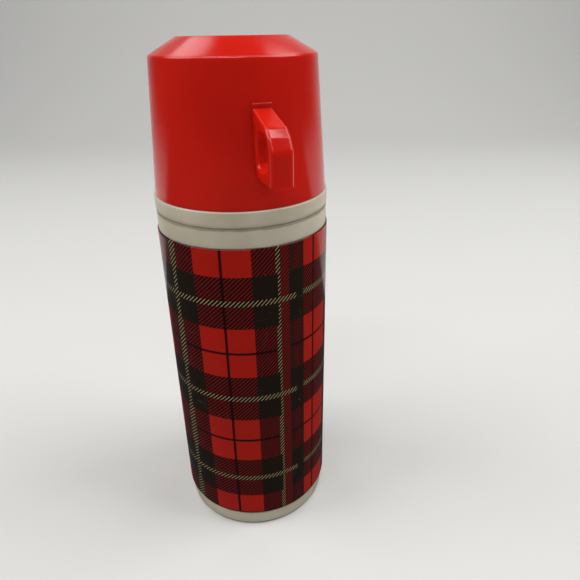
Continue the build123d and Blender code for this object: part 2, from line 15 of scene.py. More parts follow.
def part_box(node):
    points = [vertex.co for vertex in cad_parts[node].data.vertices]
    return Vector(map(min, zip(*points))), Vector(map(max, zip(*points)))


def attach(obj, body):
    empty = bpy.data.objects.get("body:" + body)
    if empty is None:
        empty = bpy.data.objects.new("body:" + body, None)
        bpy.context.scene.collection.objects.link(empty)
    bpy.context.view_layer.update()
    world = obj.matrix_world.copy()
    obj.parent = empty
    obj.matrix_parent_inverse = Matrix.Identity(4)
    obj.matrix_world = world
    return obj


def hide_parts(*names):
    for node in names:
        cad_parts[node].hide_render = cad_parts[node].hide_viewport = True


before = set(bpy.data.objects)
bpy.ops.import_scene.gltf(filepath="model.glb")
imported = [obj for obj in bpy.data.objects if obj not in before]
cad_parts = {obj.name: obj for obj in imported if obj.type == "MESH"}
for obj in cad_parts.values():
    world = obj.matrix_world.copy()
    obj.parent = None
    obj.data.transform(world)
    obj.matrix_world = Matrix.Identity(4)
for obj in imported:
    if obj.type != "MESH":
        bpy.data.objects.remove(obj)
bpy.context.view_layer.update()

MM = 0.001
TURN = 2 * pi


# ------------------------------------------------------------------ sizes, from the frame
def span_mm(node):
    """Lowest and highest height, and the radius across X, of a CAD node, in millimetres."""
    low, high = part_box(node)
    return low.z / MM, high.z / MM, high.x / MM


case_low, case_high, case_r = span_mm("case_tube")
ring_low, ring_top, band_r = span_mm("shoulder_ring")
collar_low, lip_top, collar_r = span_mm("collar")
cup_rim, cup_top, cup_r = span_mm("cup_shell")
liner_rim, liner_top, _ = span_mm("cup_liner")
gasket_low, gasket_top, gasket_r = span_mm("neck_gasket")
washer_low, washer_top, washer_r = span_mm("stopper_gasket")
boot_low, boot_top, boot_r = span_mm("tip_cap")
seat_low, seat_high, seat_r = span_mm("base_cushion")
tip_end, _, glass_r = span_mm("glass_outer")
foam_low, foam_top, foam_r = span_mm("centring_ring")
pads_low, pads_top, _ = span_mm("spacer_pads")
plug_low, plug_top, plug_r = span_mm("stopper_foam")
body_low, knob_top, stopper_r = span_mm("stopper_body")
disc_low, disc_top, disc_r = span_mm("stopper_cap")

# Sizes that no node's box gives, in millimetres and degrees.
# Steel case: wall, bend and depth of its rolled lips, and where the lap seam runs.
CASE_T, CASE_BEND, LIP_DEPTH, SEAM_DEG = 0.4, 0.8, 1.1, -66.0
# Shoulder ring and base: the spigots in the case, with the beads that snap into it.
BAND_LOW, RING_BORE = 143.97, 31.2
SPIGOT_R, BEAD_R, BEAD_L = 33.8, 34.4, 3.4
# Base: outer edge of the foot, its pad, its ring's inner edge, the recess between, the plug.
FOOT_R, FOOT_PAD_R, FOOT_RING_IN, FOOT_RECESS = 33.7, 9.0, 29.6, 1.2
BASE_PLUG_TOP, BASE_WALL, BASE_FLOOR, BASE_GAP = 17.25, 2.0, 3.4, 0.03
# Collar: its seat on the ring, neck, web, lip and the flange round its mouth.
COLLAR_SEAT, COLLAR_HIGH, COLLAR_BEVEL = 151.5, 157.8, 1.6
NECK_R, NECK_BORE = 29.9, 28.0
WEB_LOW, WEB_TOP = 169.0, 171.0
LIP_OUT, LIP_BORE = 22.6, 20.6
FLANGE_LOW, FLANGE_TOP, FLANGE_BORE = 160.0, 162.0, 16.0
# Cup: its edge, top and wall, and the gap and wall of its lining.
CUP_EDGE, CUP_R_EDGE, CUP_R_TOP, CUP_T = 206.8, 30.7, 20.2, 1.7
CUP_INNER_EDGE = CUP_EDGE - 1.0
RIM_LOW = COLLAR_HIGH + 0.05
LINER_GAP, LINER_T, LINER_RIM_L, LINER_FIT = 1.4, 1.2, 1.6, 0.05
# Thread forms: (width at the root, width at the crest, lead).
RING_FORM, CUP_FORM, STOPPER_FORM = (1.2, 0.6, 3.0), (2.0, 1.0, 9.0), (1.6, 0.8, 4.0)
# Threads: crest radius, height of the lower end and number of turns.
RING_THREAD, COLLAR_THREAD = (30.2, 142.5, 2.0), (30.95, 142.5, 2.0)
NECK_THREAD, CUP_THREAD = (31.0, 160.6, 0.8), (30.25, 160.6, 0.5)
LIP_THREAD, STOPPER_THREAD = (19.7, 164.8, 1.75), (20.3, 166.8, 1.25)
# Rubber pieces: neck gasket with its seat on the glass, stopper's washer, tip boot with the
# glass tip's length and the dome above it, and the seat with its clearance to the dome.
GASKET_BORE, SKIRT_IN, GASKET_SEAT = 15.6, 18.5, 158.05
WASHER_BORE = 15.25
TIP_HOLE, TIP_L, DOME_H = 2.8, 5.0, 20.0
SEAT_BORE, SEAT_CHANNELS, SEAT_CLEAR = 7.0, 12, 0.1
glass_low = tip_end + TIP_L
# Foam ring's joint, and the felt pads' middle radius, half thickness and directions.
BUTT_DEG = 150.0
PAD_R, PAD_HALF_T, PAD_ARC, PAD_STARTS = 27.05, 1.2, 16.0, (0.0, 120.0, 240.0)
PAD_ARC_SHARE, PAD_HEIGHT_SHARE = 0.99, 0.98
# Stopper: plug, its flare, flange, knob with finger flutes, and the disc in its top.
PLUG_R, PLUG_NECK_R, PLUG_FLARE, STOPPER_ROOT = 13.0, 15.2, (157.3, 158.7), 19.4
STOPPER_FLANGE_LOW, STOPPER_FLANGE_TOP = 175.4, 177.8
KNOB_R, KNOB_FLUTES, FLUTE_R, FLUTE_LOW, FLUTE_DEPTH = 16.5, 12, 1.8, 178.4, 0.9
DISC_R, DISH_R, DISH_DEPTH, BUTTON_R = 14.0, 10.5, 0.6, 1.4
# Handle outline and eye as (distance from the axis, height, fillet), and a point in the eye.
HANDLE_LUG = [
    (30.9, 191.9),
    (45.5, 187.3, 2.2),
    (48.2, 184.7, 2.4),
    (50.8, 180.4, 5.0),
    (50.8, 169.5, 0.25),
    (32.5, 169.5),
]
HANDLE_EYE = [(34.6, 172.6, 3.2), (46.8, 172.6, 6.0), (46.8, 184.8, 3.6), (34.6, 184.8, 4.5)]
EYE_CENTRE = (41.0, 178.5)
# Handle: half width at the wall, how fast it widens outwards, and its edge and corner radii.
HANDLE_HALF, HANDLE_FLARE = 3.5, 0.026
HANDLE_EDGE, HANDLE_CORNER, FOOT_CRISP = 1.15, 1.7, 0.25
ROOT_SPREAD, ROOT_REACH = 0.3, 1.0
# Low step where the handle's top leaves the cup's wall.
LEDGE_IN, LEDGE_OUT, LEDGE_LOW, LEDGE_TOP = 30.9, 32.2, 191.0, 193.2
LEDGE_HALF, LEDGE_EDGE, LEDGE_FILLET = 3.45, 0.35, 0.45
# Camera's heading, tilt and roll.
HEADING, PITCH, ROLL = radians(20.48), radians(26.80), radians(-0.90)


# ------------------------------------------------------------------ mesh helpers
FILLET_SHARE = 0.49
LATHE_STEPS = 192


def rounded(corners, steps=6):
    """Closed outline from (r, z) or (r, z, fillet radius) corners, with each fillet as an arc.

    A fillet takes up at most FILLET_SHARE of each edge beside it.
    """
    points = []
    count = len(corners)
    for i, corner in enumerate(corners):
        here = Vector(corner[:2])
        radius = corner[2] if len(corner) > 2 else 0.0
        if radius <= 0:
            points.append(here)
            continue
        before = Vector(corners[i - 1][:2]) - here
        after = Vector(corners[(i + 1) % count][:2]) - here
        half = before.angle(after) / 2
        room = FILLET_SHARE * min(before.length, after.length)
        back = min(radius / tan(half), room)
        radius = back * tan(half)
        start, end = here + before.normalized() * back, here + after.normalized() * back
        bisector = (before.normalized() + after.normalized()).normalized()
        centre = here + bisector * (radius / sin(half))
        a0 = atan2(start.y - centre.y, start.x - centre.x)
        sweep = atan2(end.y - centre.y, end.x - centre.x) - a0
        sweep = (sweep + pi) % TURN - pi
        for k in range(steps + 1):
            a = a0 + sweep * k / steps
            points.append(centre + Vector((cos(a), sin(a))) * radius)
    return points


def dress(piece, material):
    piece.data.materials.clear()
    piece.data.materials.append(MATERIALS[material])


def finish_mesh(name, shape, body, slot, node, material=None, sharp_deg=32.0, merge=False):
    """Piece from (verts, faces) that rides on its body and stands for a CAD node.

    Shading is smooth with sharp corners kept. The material is the slot's unless it's given.
    """
    verts, faces = shape
    mesh = bpy.data.meshes.new(name)
    mesh.from_pydata(verts, [], faces)
    work = bmesh.new()
    work.from_mesh(mesh)
    if merge:
        bmesh.ops.remove_doubles(work, verts=work.verts, dist=1e-7)
    bmesh.ops.recalc_face_normals(work, faces=work.faces)
    work.to_mesh(mesh)
    work.free()
    mesh.polygons.foreach_set("use_smooth", [True] * len(mesh.polygons))
    mesh.set_sharp_from_angle(angle=radians(sharp_deg))
    piece = bpy.data.objects.new(name, mesh)
    bpy.context.scene.collection.objects.link(piece)
    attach(piece, body)
    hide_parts(node)
    dress(piece, material or slot)
    return piece


def turned(outline, angles, warp):
    """Surface of revolution, as (verts, faces): the closed outline (mm) turned round Z.

    A point on the axis stays a single vertex. warp moves a (radius, height) at an angle.
    """
    verts, faces, rings = [], [], []
    for point in outline:
        if point.x < 1e-6:
            verts.append((0.0, 0.0, point.y * MM))
            rings.append([len(verts) - 1])
            continue
        ring = []
        for a in angles:
            r, z = warp(point.x, point.y, a) if warp else (point.x, point.y)
            verts.append((r * MM * cos(a), r * MM * sin(a), z * MM))
            ring.append(len(verts) - 1)
        rings.append(ring)
    for i, ring in enumerate(rings):
        nxt = rings[(i + 1) % len(rings)]
        if len(ring) == 1 and len(nxt) == 1:
            continue
        for k in range(len(angles)):
            n = (k + 1) % len(angles)
            if len(ring) == 1:
                faces.append((ring[0], nxt[n], nxt[k]))
            elif len(nxt) == 1:
                faces.append((ring[k], ring[n], nxt[0]))
            else:
                faces.append((ring[k], ring[n], nxt[n], nxt[k]))
    return verts, faces


def even_angles(count):
    return [TURN * k / count for k in range(count)]


def lathe(name, outline, body, slot, node, material=None, angles=None, warp=None, extras=()):
    """A turned piece, with extra (verts, faces) shapes such as threads joined to it."""
    verts, faces = turned(outline, angles or even_angles(LATHE_STEPS), warp)
    for extra_verts, extra_faces in extras:
        base = len(verts)
        verts += extra_verts
        faces += [tuple(base + i for i in face) for face in extra_faces]
    return finish_mesh(name, (verts, faces), body, slot, node, material)


# How deep a ridge is rooted in its wall (mm), the taper of its ends, and its steps in a turn.
THREAD_SUNK, THREAD_TAPER_DEG, THREAD_STEPS = 0.3, 14.0, 96


def thread(root_r, form, place, start_deg):
    """Closed helical ridge as (verts, faces); its two ends taper into the wall."""
    root_w, crest_w, lead = form
    crest_r, start_z, turns = place
    sunk_r = root_r + (THREAD_SUNK if crest_r < root_r else -THREAD_SUNK)
    steps = int(THREAD_STEPS * turns)
    verts, faces = [], []
    for k in range(steps + 1):
        swept = 360.0 * turns * k / steps
        fade = min(1.0, swept / THREAD_TAPER_DEG, (360.0 * turns - swept) / THREAD_TAPER_DEG)
        crest = root_r + (crest_r - root_r) * fade
        z = start_z + lead * swept / 360.0
        a = radians(start_deg + swept)
        section = (
            (sunk_r, -root_w / 2),
            (root_r, -root_w / 2),
            (crest, -crest_w / 2),
            (crest, crest_w / 2),
            (root_r, root_w / 2),
            (sunk_r, root_w / 2),
        )
        for r, dz in section:
            verts.append((r * MM * cos(a), r * MM * sin(a), (z + dz) * MM))
    for k in range(steps):
        for i in range(6):
            j = (i + 1) % 6
            faces.append((6 * k + i, 6 * k + j, 6 * k + 6 + j, 6 * k + 6 + i))
    faces.append(tuple(range(6)))
    faces.append(tuple(6 * steps + i for i in reversed(range(6))))
    return verts, faces


# ------------------------------------------------------------------ shader helpers
class Shader:
    """One procedural material: a Principled surface with helpers that return sockets."""

    def __init__(self, name, **constants):
        self.material = bpy.data.materials.new(name)
        self.material.use_nodes = True
        self.tree = self.material.node_tree
        self.surface = self.tree.nodes["Principled BSDF"]
        for key, value in constants.items():
            self.surface.inputs[key.replace("_", " ")].default_value = value
        self.place = self.tree.nodes.new("ShaderNodeTexCoord").outputs["Object"]

    def put(self, socket, value):
        if isinstance(value, bpy.types.NodeSocket):
            self.tree.links.new(value, socket)
        elif value is not None:
            socket.default_value = value

    def math(self, operation, a, b=None):
        node = self.tree.nodes.new("ShaderNodeMath")
        node.operation = operation
        for socket, value in zip(node.inputs, (a, b)):
            self.put(socket, value)
        return node.outputs[0]

    def mix(self, share, a, b):
        node = self.tree.nodes.new("ShaderNodeMix")
        node.data_type = "RGBA"
        self.put(node.inputs["Factor"], share)
        self.put(node.inputs[6], a)
        self.put(node.inputs[7], b)
        return node.outputs[2]

    def axes(self):
        node = self.tree.nodes.new("ShaderNodeSeparateXYZ")
        self.put(node.inputs[0], self.place)
        return node.outputs

    def stretched(self, scale):
        node = self.tree.nodes.new("ShaderNodeMapping")
        node.inputs["Scale"].default_value = scale
        self.put(node.inputs["Vector"], self.place)
        return node.outputs[0]

    def noise(self, scale, detail=3.0, roughness=0.55, vector=None):
        node = self.tree.nodes.new("ShaderNodeTexNoise")
        node.inputs["Scale"].default_value = scale
        node.inputs["Detail"].default_value = detail
        node.inputs["Roughness"].default_value = roughness
        self.put(node.inputs["Vector"], vector or self.place)
        return node.outputs["Fac"]

    def cells(self, scale):
        node = self.tree.nodes.new("ShaderNodeTexVoronoi")
        node.feature = "F1"
        node.inputs["Scale"].default_value = scale
        self.put(node.inputs["Vector"], self.place)
        return node.outputs["Distance"]

    def between(self, value, low, high, out_low=0.0, out_high=1.0):
        """value from low..high mapped to out_low..out_high, clamped and eased."""
        node = self.tree.nodes.new("ShaderNodeMapRange")
        node.interpolation_type = "SMOOTHSTEP"
        numbers = {"From Min": low, "From Max": high, "To Min": out_low, "To Max": out_high}
        for key, number in numbers.items():
            node.inputs[key].default_value = number
        self.put(node.inputs["Value"], value)
        return node.outputs[0]

    def bump(self, height, distance, strength):
        node = self.tree.nodes.new("ShaderNodeBump")
        node.inputs["Strength"].default_value = strength
        node.inputs["Distance"].default_value = distance
        self.put(node.inputs["Height"], height)
        self.put(self.surface.inputs["Normal"], node.outputs[0])

    def colour(self, value):
        self.put(self.surface.inputs["Base Color"], value)

    def roughness(self, value):
        self.put(self.surface.inputs["Roughness"], value)


SCRATCH_SCALE = 900.0


def scratches(shader):
    """Fine random scratches and scuffs, 0 to 1."""
    across = shader.noise(SCRATCH_SCALE, 2.0, 0.6, shader.stretched((1.0, 1.0, 0.06)))
    along = shader.noise(SCRATCH_SCALE, 2.0, 0.6, shader.stretched((0.08, 0.08, 1.0)))
    patches = shader.between(shader.noise(28.0, 3.0), 0.48, 0.66)
    upright = shader.between(across, 0.66, 0.72)
    level = shader.between(along, 0.67, 0.73)
    return shader.math("MULTIPLY", shader.math("MAXIMUM", upright, level), patches)


RED = (0.600, 0.0110, 0.0035, 1)
RED_DEEP = (0.530, 0.0080, 0.0030, 1)
RED_SCUFF = (0.640, 0.060, 0.040, 1)
CREAM = (0.560, 0.510, 0.400, 1)
CREAM_AGED = (0.500, 0.440, 0.325, 1)
# Brown of the joint lines on the cream mouldings: partly dirt, partly painted shade.
DIRT_AND_SHADE = (0.230, 0.180, 0.125, 1)
SILVER, SILVER_DULL = (0.82, 0.83, 0.84, 1), (0.70, 0.71, 0.70, 1)
RUBBER, RUBBER_DARK = (0.16, 0.14, 0.12, 1), (0.09, 0.08, 0.07, 1)
FOAM, FOAM_DARK = (0.62, 0.55, 0.40, 1), (0.45, 0.38, 0.26, 1)
FELT, FELT_DARK = (0.50, 0.47, 0.40, 1), (0.34, 0.31, 0.26, 1)
BACKDROP = (0.66, 0.655, 0.637, 1)


def red_plastic():
    """Glossy, slightly translucent red moulding with a faint handling haze."""
    shader = Shader(
        "red_plastic", Specular_IOR_Level=0.4, Subsurface_Weight=0.45, Subsurface_Scale=0.006
    )
    shader.surface.inputs["Subsurface Radius"].default_value = (1.0, 0.10, 0.02)
    cloud = shader.between(shader.noise(18.0, 2.0), 0.35, 0.68)
    scuffs = scratches(shader)
    tone = shader.mix(cloud, RED, RED_DEEP)
    shader.colour(shader.mix(shader.math("MULTIPLY", scuffs, 0.1), tone, RED_SCUFF))
    smear = shader.between(shader.noise(24.0, 2.0), 0.3, 0.75, 0.15, 0.20)
    shader.roughness(shader.math("ADD", smear, shader.math("MULTIPLY", scuffs, 0.08)))
    waves = shader.math("MULTIPLY", shader.noise(30.0, 1.0), 6.0)
    grain = shader.math("ADD", shader.noise(2600.0, 2.0), waves)
    shader.bump(shader.math("SUBTRACT", grain, scuffs), 0.00002, 0.3)
    return shader.material


def cream_plastic(name, dirt_and_shade_heights):
    """Aged cream moulding with dirt specks; round the listed heights (mm) a brown line stands for
    dirt and painted shade in the joints.
    """
    shader = Shader(name, Specular_IOR_Level=0.5, Subsurface_Weight=0.08, Subsurface_Scale=0.002)
    shader.surface.inputs["Subsurface Radius"].default_value = (1.0, 0.8, 0.5)
    cloud = shader.between(shader.noise(42.0, 5.0), 0.38, 0.7)
    tone = shader.mix(cloud, CREAM, CREAM_AGED)
    specks = shader.between(shader.noise(900.0, 2.0), 0.70, 0.78)
    dirt_and_shade = shader.math("MULTIPLY", specks, 0.5)
    height = shader.math("MULTIPLY", shader.axes()[2], 1000.0)
    # Each listed height gets a ragged brown line, partly dirt and partly painted shade between the
    # parts.
    for line in dirt_and_shade_heights:
        away = shader.math("ABSOLUTE", shader.math("SUBTRACT", height, line))
        ragged = shader.math("ADD", away, shader.math("MULTIPLY", shader.noise(160.0, 4.0), -0.9))
        dirt_and_shade = shader.math("MAXIMUM", dirt_and_shade, shader.between(ragged, -0.1, 0.5, 0.75, 0.0))
    scuffs = scratches(shader)
    shader.colour(shader.mix(dirt_and_shade, tone, DIRT_AND_SHADE))
    smear = shader.between(shader.noise(80.0, 5.0), 0.3, 0.75, 0.30, 0.44)
    shader.roughness(shader.math("ADD", smear, shader.math("MULTIPLY", scuffs, 0.2)))
    waves = shader.math("MULTIPLY", shader.noise(90.0), 2.0)
    grain = shader.math("ADD", shader.noise(2400.0, 2.0), waves)
    shader.bump(shader.math("SUBTRACT", grain, scuffs), 0.00003, 0.4)
    return shader.material


# ------------------------------------------------------------------ the tartan print
# Length of a repeat, and where the middle of a red band is: a height and an angle from the front.
SETT = 45.1
RED_CENTRE_Z = 99.3
RED_CENTRE_DEG = -30.6
SEAM_FROM_FRONT = SEAM_DEG + 90.0
# Half widths in repeats: red bands, thin dark lines, and cream lines up the case and round it.
RED_HALF = 0.2539
LINE_HALF = 0.0125
CREAM_HALF_ON_BLACK, CREAM_HALF_ON_RED = 0.026, 0.044
CREAM_HALF_LEVEL = 0.027
# Diagonal strokes in a repeat.
STROKES = 26
# The sheet's tucked-under end shows as a strip beside the seam, in degrees from the front.
STRIP_FROM, STRIP_RED_TO, STRIP_CREAM_TO = 6.0, 12.2, 17.5
STRIP_PALE = (16.3, 20.2)
INK_RED = (0.395, 0.0075, 0.0014, 1)
INK_RED_TWILL = (0.135, 0.0060, 0.0045, 1)
INK_DARK = (0.0090, 0.0020, 0.0015, 1)
INK_BLACK = (0.0140, 0.0085, 0.0045, 1)
INK_LINE = (0.0120, 0.0018, 0.0012, 1)
INK_CREAM = (0.330, 0.280, 0.140, 1)
STEEL = (0.50, 0.49, 0.47, 1)


def tartan_print():
    """Red and black sett with cream strokes, printed on steel and varnished.

    Both directions repeat every SETT mm. The sheet's ends meet at the lap seam, where the
    pattern jumps because the case isn't a whole number of repeats round.
    """
    shader = Shader(
        "tartan_print", Specular_IOR_Level=0.05, Coat_Weight=0.5, Coat_Roughness=0.12, Coat_IOR=1.4
    )
    math, mix = shader.math, shader.mix
    x, y, z = shader.axes()
    front = math("ARCTAN2", x, math("MULTIPLY", y, -1.0))
    past = math("GREATER_THAN", front, radians(SEAM_FROM_FRONT))
    azimuth = math("SUBTRACT", front, math("MULTIPLY", past, TURN))
    wobble = math("MULTIPLY", math("SUBTRACT", shader.noise(260.0, 2.0), 0.5), 0.14)
    across = math("ADD", math("MULTIPLY", azimuth, case_r), wobble)
    height = math("ADD", math("MULTIPLY", z, 1000.0), wobble)
    degrees_front = math("ADD", math("MULTIPLY", front, 180.0 / pi), math("MULTIPLY", wobble, 2.0))

    def from_red_centre(place, centre):
        """Distance from the middle of the nearest red band, in repeats: 0 to 0.5."""
        phase = math("ADD", math("DIVIDE", math("SUBTRACT", place, centre), SETT), 0.5)
        return math("ABSOLUTE", math("SUBTRACT", math("FRACT", phase), 0.5))

    def above(value, edge, soft=0.0020):
        return shader.between(math("SUBTRACT", value, edge), -soft, soft)

    def strip(low, high, soft=0.35):
        """1 between two directions, in degrees from the front."""
        return math("MULTIPLY", above(degrees_front, low, soft), above(high, degrees_front, soft))

    u = from_red_centre(across, radians(RED_CENTRE_DEG) * case_r)
    v = from_red_centre(height, RED_CENTRE_Z)
    dark_u, dark_v = above(u, RED_HALF), above(v, RED_HALF)
    both = math("MULTIPLY", dark_u, dark_v)
    either = math("MAXIMUM", dark_u, dark_v)
    line = math("MAXIMUM", above(LINE_HALF, u), above(LINE_HALF, v))
    narrower = math("MULTIPLY", dark_v, CREAM_HALF_ON_BLACK - CREAM_HALF_ON_RED)
    half_u = math("ADD", CREAM_HALF_ON_RED, narrower)
    cream_u = above(math("ADD", u, half_u), 0.5)
    cream_v = above(v, 0.5 - CREAM_HALF_LEVEL)

    # The strokes rise to the right.
    sweep = math("MULTIPLY", math("SUBTRACT", across, height), STROKES / SETT)
    wave = math("ABSOLUTE", math("SUBTRACT", math("FRACT", sweep), 0.5))
    stroke = shader.between(wave, 0.22, 0.32)
    cream_stroke = shader.between(wave, 0.33, 0.41)

    faded = shader.between(shader.noise(30.0, 4.0), 0.35, 0.7, 0.0, 0.16)
    red = mix(faded, INK_RED, INK_RED_TWILL)
    twill = mix(stroke, INK_DARK, INK_RED_TWILL)
    ink = mix(either, red, twill)
    ink = mix(both, ink, INK_BLACK)
    ink = mix(math("MULTIPLY", line, 0.94), ink, INK_LINE)

    in_strip = strip(STRIP_FROM, SEAM_FROM_FRONT)
    in_red = strip(STRIP_FROM, STRIP_RED_TO)
    pale = math("MULTIPLY", strip(*STRIP_PALE), math("SUBTRACT", 1.0, dark_v))
    dim = math("MULTIPLY", in_strip, math("SUBTRACT", 0.55, math("MULTIPLY", pale, 0.45)))
    ink = mix(dim, ink, INK_BLACK)
    red_stroke = mix(shader.between(wave, 0.12, 0.26), INK_DARK, INK_RED_TWILL)
    ink = mix(in_red, ink, red_stroke)

    cream_u = math("MULTIPLY", cream_u, math("SUBTRACT", 1.0, in_strip))
    ends = math("SUBTRACT", 1.0, strip(STRIP_CREAM_TO, SEAM_FROM_FRONT, 0.9))
    cream = math("MAXIMUM", cream_u, math("MULTIPLY", cream_v, ends))
    ink = mix(cream, ink, mix(cream_stroke, INK_DARK, INK_CREAM))

    # Tiny chips down to bare steel.
    bare = math("MULTIPLY", shader.between(shader.noise(620.0, 2.0), 0.775, 0.80), 0.5)
    scuffs = scratches(shader)
    worn = mix(math("MULTIPLY", scuffs, 0.06), ink, STEEL)
    shader.colour(mix(bare, worn, STEEL))
    shader.put(shader.surface.inputs["Metallic"], bare)
    smear = shader.between(shader.noise(60.0, 4.0), 0.3, 0.7, 0.34, 0.46)
    shader.roughness(math("ADD", smear, math("MULTIPLY", scuffs, 0.15)))
    peel = math("ADD", shader.noise(800.0, 2.0), math("MULTIPLY", shader.noise(22.0, 2.0), 9.0))
    shader.bump(math("SUBTRACT", peel, math("MULTIPLY", bare, 0.8)), 0.00003, 0.35)
    return shader.material


# ------------------------------------------------------------------ hidden materials
def silvered_glass():
    shader = Shader("silvered_glass", Metallic=1.0, Coat_Weight=1.0, Coat_Roughness=0.01)
    cloud = shader.between(shader.noise(26.0, 4.0), 0.35, 0.7)
    shader.colour(shader.mix(cloud, SILVER, SILVER_DULL))
    shader.roughness(shader.between(shader.noise(90.0, 4.0), 0.3, 0.8, 0.03, 0.10))
    shader.bump(shader.noise(60.0, 2.0), 0.0001, 0.15)
    return shader.material


def soft_material(name, light, dark, grain_scale, depth, rough=0.85):
    """Rubber, foam or felt: two tones broken up by its grain."""
    shader = Shader(name, Specular_IOR_Level=0.3)
    grain = shader.noise(grain_scale, 5.0, 0.7)
    pores = shader.cells(grain_scale * 0.8)
    cloud = shader.noise(40.0, 3.0)
    tone = shader.mix(shader.between(cloud, 0.3, 0.7), light, dark)
    shader.colour(shader.mix(shader.between(grain, 0.45, 0.75, 0.0, 0.5), tone, dark))
    shader.roughness(shader.between(grain, 0.2, 0.8, rough - 0.12, min(1.0, rough + 0.08)))
    shader.bump(shader.math("ADD", grain, pores), depth, 0.6)
    return shader.material


# The cream mouldings name the heights (mm) of the joints darkened with dirt and painted shade; the
# soft materials name the scale of their grain and its depth in metres.
MATERIALS = {
    "red_plastic": red_plastic(),
    "cream_plastic": cream_plastic("cream_plastic", (143.7, 151.4)),
    "foot_plastic": cream_plastic("foot_plastic", (8.5, 0.6)),
    "stopper_plastic": cream_plastic("stopper_plastic", (177.9,)),
    "printed_steel": tartan_print(),
    "silvered_glass": silvered_glass(),
    "rubber": soft_material("rubber", RUBBER, RUBBER_DARK, 900.0, 0.00004, 0.75),
    "foam": soft_material("foam", FOAM, FOAM_DARK, 1400.0, 0.00015),
    "felt": soft_material("felt", FELT, FELT_DARK, 2200.0, 0.0001),
}


# ------------------------------------------------------------------ steel case
# Lap seam: step (mm), how fast it eases out round the case (mm), and how far it goes (radians).
SEAM_STEP, SEAM_EASE, SEAM_REACH = 0.22, 5.0, 1.2
SEAM_ANGLES = (-0.004, -0.0004, 0.0004, 0.004, 0.03, 0.08)
SEAM_CLEAR = 0.006


def case_angles():
    """Even turns, with close ones at the lap's edge so that its step is crisp."""
    near = [radians(SEAM_DEG) % TURN + step for step in SEAM_ANGLES]
    even = [a for a in even_angles(240) if min(abs(a - n) for n in near) > SEAM_CLEAR]
    return sorted(even + near)


def lap(r, z, a):
    """The under layer's side of the lap seam sits lower and eases back out round the case."""
    past = (a - radians(SEAM_DEG)) % TURN
    if r < case_r - CASE_T * 0.9 or past > SEAM_REACH:
        return r, z
    return r - SEAM_STEP * exp(-past * case_r / SEAM_EASE), z


lip_r = case_r - LIP_DEPTH
lathe(
    "steel_case",
    rounded(
        [
            (lip_r, case_low),
            (case_r, case_low, CASE_BEND),
            (case_r, case_high, CASE_BEND),
            (lip_r, case_high),
            (lip_r, case_high - CASE_T),
            (case_r - CASE_T, case_high - CASE_T, CASE_BEND - CASE_T),
            (case_r - CASE_T, case_low + CASE_T, CASE_BEND - CASE_T),
            (lip_r, case_low + CASE_T),
        ],
        8,
    ),
    "flask",
    "printed_steel",
    "case_tube",
    angles=case_angles(),
    warp=lap,
)

# ------------------------------------------------------------------ cream mouldings
lathe(
    "shoulder_band",
    rounded(
        [
            (RING_BORE, ring_low),
            (SPIGOT_R, ring_low, 0.4),
            (SPIGOT_R, case_high - CASE_T - BEAD_L),
            (BEAD_R, case_high - CASE_T - BEAD_L / 2, 0.3),
            (BEAD_R, case_high - CASE_T - 0.35, 0.1),
            (SPIGOT_R, case_high - CASE_T - 0.05),
            (SPIGOT_R, BAND_LOW),
            (band_r, BAND_LOW, 0.06),
            (band_r, ring_top, 0.3),
            (RING_BORE, ring_top, 0.2),
        ]
    ),
    "flask",
    "cream_plastic",
    "shoulder_ring",
    extras=(thread(RING_BORE, RING_FORM, RING_THREAD, 180.0),),
)

lathe(
    "screw_collar",
    rounded(
        [
            (NECK_BORE, collar_low, 0.4),
            (NECK_R, collar_low, 0.6),
            (NECK_R, COLLAR_SEAT, 0.3),
            (collar_r - 0.5, COLLAR_SEAT, 0.05),
            (collar_r, COLLAR_SEAT + COLLAR_BEVEL, 1.5),
            (collar_r, COLLAR_HIGH, 0.6),
            (NECK_R, COLLAR_HIGH, 0.4),
            (NECK_R, WEB_TOP, 0.9),
            (LIP_OUT, WEB_TOP, 1.2),
            (LIP_OUT, lip_top, 0.97),
            (LIP_BORE, lip_top, 0.97),
            (LIP_BORE, FLANGE_TOP, 0.4),
            (FLANGE_BORE, FLANGE_TOP, 0.3),
            (FLANGE_BORE, FLANGE_LOW, 0.3),
            (LIP_OUT, FLANGE_LOW, 0.4),
            (LIP_OUT, WEB_LOW, 0.6),
            (NECK_BORE, WEB_LOW, 0.6),
        ]
    ),
    "collar",
    "cream_plastic",
    "collar",
    extras=(
        thread(NECK_R, RING_FORM, COLLAR_THREAD, 0.0),
        thread(NECK_R, CUP_FORM, NECK_THREAD, 0.0),
        thread(NECK_R, CUP_FORM, NECK_THREAD, 180.0),
        thread(LIP_BORE, STOPPER_FORM, LIP_THREAD, 180.0),
    ),
)

lathe(
    "base_moulding",
    rounded(
        [
            (0, 0),
            (FOOT_PAD_R, 0, 0.3),
            (FOOT_PAD_R, FOOT_RECESS, 0.3),
            (FOOT_RING_IN - 0.6, FOOT_RECESS, 0.5),
            (FOOT_RING_IN, 0, 0.4),
            (FOOT_R, 0, 1.2),
            (band_r, case_low + BASE_GAP, 0.06),
            (SPIGOT_R, case_low + BASE_GAP),
            (SPIGOT_R, case_low + CASE_T + 0.05),
            (BEAD_R, case_low + CASE_T + 0.35, 0.2),
            (BEAD_R, case_low + CASE_T + BEAD_L / 2, 0.5),
            (SPIGOT_R, case_low + CASE_T + BEAD_L),
            (SPIGOT_R, BASE_PLUG_TOP, 0.3),
            (SPIGOT_R - BASE_WALL, BASE_PLUG_TOP, 0.3),
            (SPIGOT_R - BASE_WALL, BASE_FLOOR, 0.8),
            (0, BASE_FLOOR),
        ]
    ),
    "flask",
    "cream_plastic",
    "base_cup",
    "foot_plastic",
)


# ------------------------------------------------------------------ cup
def cup_wall(z):
    """Outer radius of the cup's side at height z (mm)."""
    return cup_r + (CUP_R_EDGE - cup_r) * (z - cup_rim) / (CUP_EDGE - cup_rim)


def cup_bore(z):
    """Inner radius of the cup's side at height z (mm)."""
    return cup_wall(z) - CUP_T


